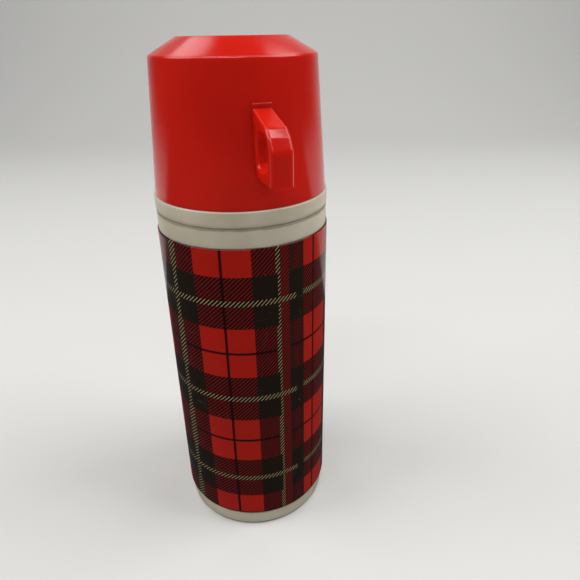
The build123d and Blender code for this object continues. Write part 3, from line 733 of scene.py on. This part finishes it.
def corner_normal(loop, i):
    """Outward normal at a corner of a closed outline that runs anticlockwise."""
    before = (loop[i] - loop[i - 1]).normalized()
    after = (loop[(i + 1) % len(loop)] - loop[i]).normalized()
    along = (before + after).normalized()
    return Vector((along.y, -along.x))


def loop_hit(loop, centre, angle):
    """Point and unit normal where a ray from centre meets a closed 2-D outline."""
    ray = Vector((cos(angle), sin(angle)))
    count = len(loop)
    for i in range(count):
        a, b = loop[i] - centre, loop[(i + 1) % count] - centre
        edge = b - a
        across = ray.x * edge.y - ray.y * edge.x
        if abs(across) < 1e-12:
            continue
        reach = (a.x * edge.y - a.y * edge.x) / across
        share = (a.x * ray.y - a.y * ray.x) / across
        if reach > 0 and -1e-9 <= share <= 1 + 1e-9:
            normal = corner_normal(loop, i).lerp(corner_normal(loop, (i + 1) % count), share)
            return centre + ray * reach, normal.normalized()
    raise ValueError("the ray misses the outline")


def anticlockwise(loop):
    """The outline without repeated points, anticlockwise."""
    loop = [p for i, p in enumerate(loop) if (p - loop[i - 1]).length > 1e-5]
    area = sum(loop[i - 1].x * p.y - p.x * loop[i - 1].y for i, p in enumerate(loop))
    return loop if area > 0 else loop[::-1]


def from_side(x, point):
    """Place, in metres, of a point of the handle's side outline at width x (mm)."""
    return x * MM, -point.x * MM, point.y * MM


def handle_loop():
    """The finger loop: a rounded section carried round the eye, as (verts, faces)."""
    lug = anticlockwise(rounded(HANDLE_LUG, 8))
    eye = anticlockwise(rounded(HANDLE_EYE, 12))
    centre = Vector(EYE_CENTRE)
    at_corners = [atan2(p.y - centre.y, p.x - centre.x) % TURN for p in lug + eye]
    angles = []
    for angle in sorted(at_corners + even_angles(180)):
        if not angles or angle - angles[-1] > 0.002:
            angles.append(angle)
    arc = 8
    reach = max(p.x for p in lug)
    verts, faces = [], []
    for angle in angles:
        inner, inner_n = loop_hit(eye, centre, angle)
        outer, outer_n = loop_hit(lug, centre, angle)
        # Soft edges all round, but crisp ones on the flat foot.
        foot = min(1.0, max(0.0, (-outer_n.y - 0.6) / 0.35))
        half = []
        for radius, point, normal, order in (
            (HANDLE_EDGE, inner, inner_n, range(arc + 1)),
            (HANDLE_EDGE - (HANDLE_EDGE - FOOT_CRISP) * foot, outer, -outer_n, range(arc, -1, -1)),
        ):
            for i in order:
                phi = pi / 2 * i / arc
                inset = normal * (radius * (1 - cos(phi)))
                half.append((point + inset, HANDLE_HALF - radius + radius * sin(phi)))
        for point, x in half + [(p, -x) for p, x in reversed(half)]:
            clear = max(0.0, point.x - cup_wall(point.y))
            spread = ROOT_SPREAD * max(0.0, ROOT_REACH - clear) ** 2
            width = abs(x) + spread + HANDLE_FLARE * clear
            # Seen from above, the front corners are round right down to the foot.
            front = max(0.0, point.x - (reach - HANDLE_CORNER))
            limit = HANDLE_HALF + HANDLE_FLARE * clear - HANDLE_CORNER
            limit += sqrt(max(0.0, HANDLE_CORNER**2 - front**2))
            width = min(width, limit)
            verts.append(from_side(width if x > 0 else -width, point))
    ring = 4 * (arc + 1)
    for k in range(len(angles)):
        n = (k + 1) % len(angles)
        for i in range(ring):
            j = (i + 1) % ring
            faces.append((ring * k + i, ring * k + j, ring * n + j, ring * n + i))
    return verts, faces


def handle_ledge():
    """The low step where the handle's top leaves the wall, as (verts, faces)."""
    arc = 6
    stations = []
    for i in range(arc + 1):
        phi = pi / 2 * i / arc
        side = LEDGE_EDGE * sin(phi) - LEDGE_EDGE + LEDGE_HALF
        stations.append((side, LEDGE_EDGE * (1 - cos(phi))))
    stations = [(-x, inset) for x, inset in reversed(stations)] + stations
    verts, faces = [], []
    for x, inset in stations:
        out, top = LEDGE_OUT - inset, LEDGE_TOP - inset
        low_side = [(LEDGE_IN, LEDGE_LOW), (out, LEDGE_LOW)]
        outline = rounded([*low_side, (out, top, LEDGE_FILLET), (LEDGE_IN, top)], 8)
        verts += [from_side(x, point) for point in outline]
    ring = len(outline)
    for k in range(len(stations) - 1):
        for i in range(ring):
            j = (i + 1) % ring
            faces.append((ring * k + i, ring * k + j, ring * k + ring + j, ring * k + ring + i))
    faces.append(tuple(range(ring)))
    faces.append(tuple(len(verts) - 1 - i for i in range(ring)))
    return verts, faces


cup_root = cup_r - CUP_T - 0.2
cup_shoulder_in = CUP_R_TOP - 0.8
lathe(
    "cup_with_handle",
    rounded(
        [
            (cup_r - CUP_T, RIM_LOW, 0.6),
            (cup_r, RIM_LOW, 0.25),
            (CUP_R_EDGE, CUP_EDGE, 1.4),
            (CUP_R_TOP, cup_top, 1.2),
            (0, cup_top),
            (0, cup_top - CUP_T),
            (cup_shoulder_in, cup_top - CUP_T, 1.0),
            (CUP_R_EDGE - CUP_T, CUP_INNER_EDGE, 1.0),
        ],
        8,
    ),
    "cup",
    "red_plastic",
    "cup_shell",
    extras=(
        handle_loop(),
        handle_ledge(),
        thread(cup_root, CUP_FORM, CUP_THREAD, 90.0),
        thread(cup_root, CUP_FORM, CUP_THREAD, 270.0),
    ),
)

liner_ledge, liner_edge = liner_rim + LINER_RIM_L, CUP_INNER_EDGE - 1.0
lathe(
    "cup_lining",
    rounded(
        [
            (cup_bore(liner_rim) - LINER_GAP - LINER_T, liner_rim, 0.5),
            (cup_bore(liner_rim) - LINER_FIT, liner_rim, 0.4),
            (cup_bore(liner_ledge) - LINER_FIT, liner_ledge, 0.2),
            (cup_bore(liner_ledge) - LINER_GAP, liner_ledge, 0.5),
            (cup_bore(liner_edge) - LINER_GAP, liner_edge, 2.0),
            (cup_shoulder_in - LINER_GAP, liner_top, 1.6),
            (0, liner_top),
            (0, liner_top - LINER_T),
            (CUP_R_TOP - 1.3 - LINER_GAP, liner_top - LINER_T, 1.2),
            (cup_bore(liner_edge) - LINER_GAP - LINER_T, CUP_INNER_EDGE - 1.6, 1.6),
        ],
        8,
    ),
    "cup_lining",
    "cup_lining",
    "cup_liner",
    "red_plastic",
)


# ------------------------------------------------------------------ rubber pieces
def waist(r, low, high, depth, slope, fillet):
    """Corners of a shallow groove round a rubber piece's outside."""
    return [
        (r, low, fillet),
        (r - depth, low + slope, fillet),
        (r - depth, high - slope, fillet),
        (r, high, fillet),
    ]


lathe(
    "mouth_gasket",
    rounded(
        [
            (GASKET_BORE, GASKET_SEAT, 0.35),
            (SKIRT_IN, GASKET_SEAT, 0.3),
            (SKIRT_IN, gasket_low, 0.4),
            (gasket_r, gasket_low, 0.6),
            *waist(gasket_r, gasket_low + 2.0, gasket_low + 4.3, 0.25, 0.3, 0.4),
            (gasket_r, gasket_top, 0.7),
            (GASKET_BORE + 2.2, gasket_top, 0.3),
            (GASKET_BORE + 1.7, gasket_top - 0.3, 0.3),
            (GASKET_BORE + 1.2, gasket_top, 0.3),
            (GASKET_BORE, gasket_top, 0.4),
        ]
    ),
    "neck_seal",
    "rubber",
    "neck_gasket",
)

lathe(
    "stopper_washer",
    rounded(
        [
            (WASHER_BORE, washer_low, 0.5),
            (washer_r, washer_low, 0.6),
            (washer_r, washer_top, 0.6),
            (washer_r - 1.2, washer_top, 0.2),
            (washer_r - 1.5, washer_top - 0.25, 0.2),
            (washer_r - 1.8, washer_top, 0.2),
            (WASHER_BORE, washer_top, 0.5),
        ]
    ),
    "stopper_seal",
    "rubber",
    "stopper_gasket",
)

lathe(
    "tip_boot",
    rounded(
        [
            (0, boot_low),
            (boot_r, boot_low, 1.6),
            *waist(boot_r, boot_low + 3.0, boot_low + 5.0, 0.5, 0.4, 0.3),
            (boot_r, boot_top, 0.5),
            (TIP_HOLE + 1.2, boot_top, 0.3),
            (TIP_HOLE, boot_top - 1.5, 0.3),
            (TIP_HOLE, boot_low + 2.6, 0.6),
            (0, boot_low + 2.2),
        ]
    ),
    "flask",
    "rubber",
    "tip_cap",
)

CHANNEL_DEPTH, SCALLOP_DEPTH, CHANNEL_SHARP = 0.9, 0.5, 6


def seat_channels(r, z, a):
    """Radial channels under the glass's rubber seat, and a scalloped rim."""
    wave = (0.5 + 0.5 * cos(SEAT_CHANNELS * a)) ** CHANNEL_SHARP
    if z < seat_low + 0.1:
        z += CHANNEL_DEPTH * wave
    if r > seat_r - 0.3:
        r -= SCALLOP_DEPTH * wave
    return r, z


def dome_seat(r):
    """Height at radius r of the hollow that the glass's dome rests in."""
    sunk = sqrt(1 - (r / (glass_r + SEAT_CLEAR)) ** 2)
    return glass_low + DOME_H - (DOME_H + SEAT_CLEAR) * sunk


def seat_outline():
    """Closed outline of the rubber seat, from the hollow's outer edge inwards and round."""
    across = [SEAT_BORE + 0.4 + (seat_r - SEAT_BORE - 0.9) * k / 16 for k in range(17)]
    hollow = [Vector((r, dome_seat(r))) for r in reversed(across)]
    below = [
        (SEAT_BORE, hollow[-1].y - 0.4),
        (SEAT_BORE, seat_low + 0.6),
        (SEAT_BORE + 0.6, seat_low),
        (12.0, seat_low),
        (18.0, seat_low),
        (seat_r - 0.8, seat_low),
        (seat_r - 0.2, seat_low + 0.2),
        (seat_r, seat_low + 0.8),
        (seat_r, seat_high - 0.9),
    ]
    return hollow + [Vector(point) for point in below]


lathe("glass_seat", seat_outline(), "flask", "rubber", "base_cushion", warp=seat_channels)


# ------------------------------------------------------------------ foam and felt
foam_in = glass_r + SEAT_CLEAR
# Depth and half width of the joint's groove, waves of the free edges, and the swell between.
BUTT_PINCH, BUTT_HALF_DEG = 0.22, 2.2
RIPPLE, RIPPLE_COUNT = 0.12, 9
FOAM_CROWN, FOAM_FLAT = 1.5, 2.4


def butt_joint(r, z, a):
    """The foam strip's two ends meet in a soft groove, and its free edges ripple."""
    off = abs((a - radians(BUTT_DEG) + pi) % TURN - pi)
    pinch = 1.0 - BUTT_PINCH * max(0.0, 1.0 - off / radians(BUTT_HALF_DEG)) ** 0.5
    middle_r, middle_z = (foam_in + foam_r) / 2, (foam_low + foam_top) / 2
    ripple = RIPPLE * sin(RIPPLE_COUNT * a) * (1.0 if abs(z - middle_z) > 3.0 else 0.0)
    return middle_r + (r - middle_r) * pinch, middle_z + (z - middle_z + ripple) * pinch


def crowned_strip(inside, outside, low, top):
    """Closed outline of a strip pressed flat on its two sides and swelling at its free edges."""
    middle, half = (inside + outside) / 2, (outside - inside) / 2
    steps = [-1 + k / 8 for k in range(17)]
    dips = [FOAM_CROWN * abs(t) ** FOAM_FLAT for t in steps]
    under = [Vector((middle + half * t, low + dip)) for t, dip in zip(steps, dips)]
    over = [Vector((middle + half * t, top - dip)) for t, dip in zip(steps, dips)]
    return under + over[::-1]


ring_of_foam = lathe(
    "centring_foam",
    crowned_strip(foam_in, foam_r, foam_low + 0.15, foam_top - 0.15),
    "flask",
    "foam",
    "centring_ring",
    angles=even_angles(288),
    warp=butt_joint,
)

PLUG_CROWN, PLUG_EDGE = 1.3, 2.4


def plug_outline():
    """Closed outline of the stopper's filling, domed at both ends."""
    under = [Vector((plug_r * k / 12, plug_low + PLUG_CROWN * (k / 12) ** 4)) for k in range(13)]
    over = [Vector((plug_r * k / 12, plug_top - PLUG_CROWN * (k / 12) ** 4)) for k in range(13)]
    side = [Vector((plug_r, plug_low + PLUG_EDGE)), Vector((plug_r, plug_top - PLUG_EDGE))]
    return under + side + over[::-1]


foam_plug = lathe("stopper_filling", plug_outline(), "stopper", "foam", "stopper_foam")


def felt_pads():
    """Three pads in the vacuum gap, as (verts, faces): flat where pressed, round at their edges."""
    verts, faces = [], []
    across, up = 24, 12
    middle = (pads_low + pads_top) / 2
    for start in PAD_STARTS:
        base = len(verts)
        for side in (-1, 1):
            for i in range(across + 1):
                for j in range(up + 1):
                    s, t = -1 + 2 * i / across, -1 + 2 * j / up
                    s, t = sin(s * pi / 2), sin(t * pi / 2)
                    bulge = ((1 - s**12) * (1 - t**6)) ** 0.5
                    r = PAD_R + side * PAD_HALF_T * bulge
                    a = radians(start + PAD_ARC / 2 * (1 + s * PAD_ARC_SHARE))
                    z = middle + (pads_top - pads_low) / 2 * PAD_HEIGHT_SHARE * t
                    verts.append((r * MM * cos(a), r * MM * sin(a), z * MM))
        half = (across + 1) * (up + 1)
        for side in (0, 1):
            for i in range(across):
                for j in range(up):
                    k = base + side * half + i * (up + 1) + j
                    faces.append((k, k + 1, k + up + 2, k + up + 1))
    return verts, faces


felt_piece = finish_mesh(
    "spacer_felt", felt_pads(), "flask", "felt", "spacer_pads", sharp_deg=60.0, merge=True
)


# ------------------------------------------------------------------ stopper
# Fade of the flutes' ends, depth of wall they may cut, and clearances to washer and filling.
FLUTE_FADE, KNOB_WALL, WASHER_FIT, PLUG_FIT = 0.8, 2.5, 0.05, 0.1


def knob_flutes(r, z, a):
    """Finger flutes round the knob, fading out at their lower ends."""
    if z <= FLUTE_LOW or r < KNOB_R - KNOB_WALL:
        return r, z
    centre_r = KNOB_R - FLUTE_DEPTH + FLUTE_R
    pitch = TURN / KNOB_FLUTES
    off = (a + pitch / 2) % pitch - pitch / 2
    reach = FLUTE_R**2 - (centre_r * sin(off)) ** 2
    if reach <= 0:
        return r, z
    cut = centre_r * cos(off) - sqrt(reach)
    depth = min(1.0, (z - FLUTE_LOW) / FLUTE_FADE)
    return r + (min(r, cut) - r) * depth**0.5, z


lathe(
    "screw_stopper",
    rounded(
        [
            (0, body_low),
            (PLUG_R, body_low, 1.6),
            (PLUG_R, PLUG_FLARE[0], 0.8),
            (PLUG_NECK_R, PLUG_FLARE[1], 0.8),
            (PLUG_NECK_R, washer_top + WASHER_FIT, 0.1),
            (STOPPER_ROOT, washer_top + WASHER_FIT, 0.5),
            (STOPPER_ROOT, STOPPER_FLANGE_LOW, 0.2),
            (stopper_r, STOPPER_FLANGE_LOW, 0.5),
            (stopper_r, STOPPER_FLANGE_TOP, 0.9),
            (KNOB_R, STOPPER_FLANGE_TOP, 0.3),
            (KNOB_R, FLUTE_LOW),
            (KNOB_R, FLUTE_LOW + 0.2),
            (KNOB_R, FLUTE_LOW + 0.5),
            (KNOB_R, FLUTE_LOW + 0.9),
            (KNOB_R, knob_top, 1.0),
            (DISC_R, knob_top, 0.25),
            (DISC_R, plug_top + PLUG_FIT, 0.2),
            (plug_r + PLUG_FIT, plug_top + PLUG_FIT),
            (plug_r + PLUG_FIT, plug_low - PLUG_FIT, 0.6),
            (0, plug_low - PLUG_FIT),
        ]
    ),
    "stopper",
    "stopper_plastic",
    "stopper_body",
    angles=even_angles(360),
    warp=knob_flutes,
    extras=(thread(STOPPER_ROOT, STOPPER_FORM, STOPPER_THREAD, 0.0),),
)

lathe(
    "stopper_disc",
    rounded(
        [
            (0, disc_low),
            (disc_r, disc_low, 0.2),
            (disc_r, disc_top, 0.45),
            (DISH_R, disc_top, 0.4),
            (DISH_R - 0.4, disc_top - DISH_DEPTH, 0.3),
            (BUTTON_R, disc_top - DISH_DEPTH, 0.2),
            (BUTTON_R - 0.3, disc_top - 0.35, 0.15),
            (0, disc_top - 0.35),
        ]
    ),
    "stopper",
    "stopper_plastic",
    "stopper_cap",
)

# ------------------------------------------------------------------ glass, in its CAD shape
for node in ("glass_outer", "glass_inner"):
    dress(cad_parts[node], "silvered_glass")


# ------------------------------------------------------------------ stage, light and camera
# In metres: the floor's near end, split, far end and bend into the wall; the bowl's outline.
FLOOR_FROM, FLOOR_SPLIT, FLOOR_TO, FLOOR_BEND = -1.6, 0.2, 0.9, 0.5
WALL_TOP, STAGE_HALF = 2.2, 2.5
BOWL_IN, BOWL_FLAT, BOWL_BEND, BOWL_TOP, BOWL_LOW = 0.3, 2.6, 0.6, 3.5, -0.0005


def backdrop_material():
    shader = Shader("backdrop", Specular_IOR_Level=0.2)
    shader.colour(BACKDROP)
    shader.roughness(0.9)
    return shader.material


def stage_piece(name, verts, faces, material):
    """A smooth part of the stage."""
    mesh = bpy.data.meshes.new(name)
    mesh.from_pydata(verts, [], faces)
    mesh.polygons.foreach_set("use_smooth", [True] * len(faces))
    piece = bpy.data.objects.new(name, mesh)
    piece.data.materials.append(material)
    bpy.context.scene.collection.objects.link(piece)
    return piece


def backdrop(material):
    """Pale floor that sweeps up into a wall behind. Glossy pieces don't mirror its front half."""
    near = [(FLOOR_FROM, 0.0), (FLOOR_SPLIT, 0.0)]
    far = [(FLOOR_SPLIT, 0.0)]
    for k in range(13):
        a = pi / 2 * k / 12
        far.append((FLOOR_TO + FLOOR_BEND * sin(a), FLOOR_BEND - FLOOR_BEND * cos(a)))
    far.append((FLOOR_TO + FLOOR_BEND, WALL_TOP))
    for name, profile, mirrored in (("floor_near", near, False), ("floor_far", far, True)):
        verts = [(x, y, z) for x in (-STAGE_HALF, STAGE_HALF) for y, z in profile]
        count = len(profile)
        faces = [(i, i + 1, count + i + 1, count + i) for i in range(count - 1)]
        sweep = stage_piece(name, verts, faces, material)
        sweep.rotation_euler.z = -HEADING
        sweep.visible_glossy = mirrored


def surround(material):
    """A wide bowl round the stage that gives every view a plain background. It lights nothing."""
    profile = [(BOWL_IN, BOWL_LOW), (BOWL_FLAT, BOWL_LOW)]
    for k in range(1, 13):
        a = pi / 2 * k / 12
        profile.append((BOWL_FLAT + BOWL_BEND * sin(a), BOWL_BEND - BOWL_BEND * cos(a)))
    profile.append((BOWL_FLAT + BOWL_BEND, BOWL_TOP))
    steps, count = 96, len(profile)
    verts = [(r * cos(a), r * sin(a), z) for a in even_angles(steps) for r, z in profile]
    faces = []
    for k in range(steps):
        here, there = k * count, (k + 1) % steps * count
        faces += [(here + i, here + i + 1, there + i + 1, there + i) for i in range(count - 1)]
    bowl = stage_piece("surround", verts, faces, material)
    bowl.visible_diffuse = bowl.visible_glossy = bowl.visible_shadow = False


MIDDLE = (0, 0, 0.1)
CAMERA_AT, LENS_MM, SENSOR_MM = (-0.05334, -0.19768, 0.21304), 31.547, 36.0


def softbox(name, place, width, height, watts):
    """Plain rectangular light that faces the middle of the flask."""
    data = bpy.data.lights.new(name, "AREA")
    data.shape = "RECTANGLE"
    data.size, data.size_y = width, height
    data.energy = watts
    lamp = bpy.data.objects.new(name, data)
    bpy.context.scene.collection.objects.link(lamp)
    lamp.location = place
    lamp.rotation_euler = (Vector(MIDDLE) - place).to_track_quat("-Z", "Y").to_euler()


def in_view(right, ahead, up):
    """A place given right of, beyond and above the flask as the camera sees it."""
    x = right * cos(HEADING) + ahead * sin(HEADING)
    y = -right * sin(HEADING) + ahead * cos(HEADING)
    return Vector((x, y, up))


pale = backdrop_material()
backdrop(pale)
surround(pale)
world = bpy.data.worlds.new("studio")
world.use_nodes = True
sky = world.node_tree.nodes["Background"].inputs
sky["Color"].default_value = (0.95, 0.97, 1.0, 1)
sky["Strength"].default_value = 0.06
bpy.context.scene.world = world
bpy.context.scene.view_settings.view_transform = "Standard"
softbox("key_softbox", in_view(-0.15, -0.65, 1.15), 0.9, 0.12, 4.5)
softbox("top_softbox", in_view(0.0, -0.1, 1.1), 0.9, 0.06, 2.2)
softbox("back_left_softbox", in_view(-0.6, 0.75, 1.25), 0.5, 0.5, 1.8)
softbox("back_right_softbox", in_view(0.6, 0.75, 1.25), 0.5, 0.5, 2.3)
softbox("left_softbox", in_view(-1.0, -0.1, 1.15), 0.9, 0.9, 10.0)
softbox("right_softbox", in_view(1.0, 0.0, 1.15), 0.9, 0.9, 12.5)

forward = Vector((sin(HEADING) * cos(PITCH), cos(HEADING) * cos(PITCH), -sin(PITCH)))
level = Vector((cos(HEADING), -sin(HEADING), 0.0))
straight_up = level.cross(forward)
right = level * cos(ROLL) + straight_up * sin(ROLL)
up = straight_up * cos(ROLL) - level * sin(ROLL)
camera_data = bpy.data.cameras.new("camera")
camera_data.sensor_width = SENSOR_MM
camera_data.lens = LENS_MM
camera_data.clip_start = 0.01
camera = bpy.data.objects.new("camera", camera_data)
bpy.context.scene.collection.objects.link(camera)
turn = Matrix((right, up, -forward)).transposed()
camera.matrix_world = Matrix.Translation(CAMERA_AT) @ turn.to_4x4()
bpy.context.scene.camera = camera
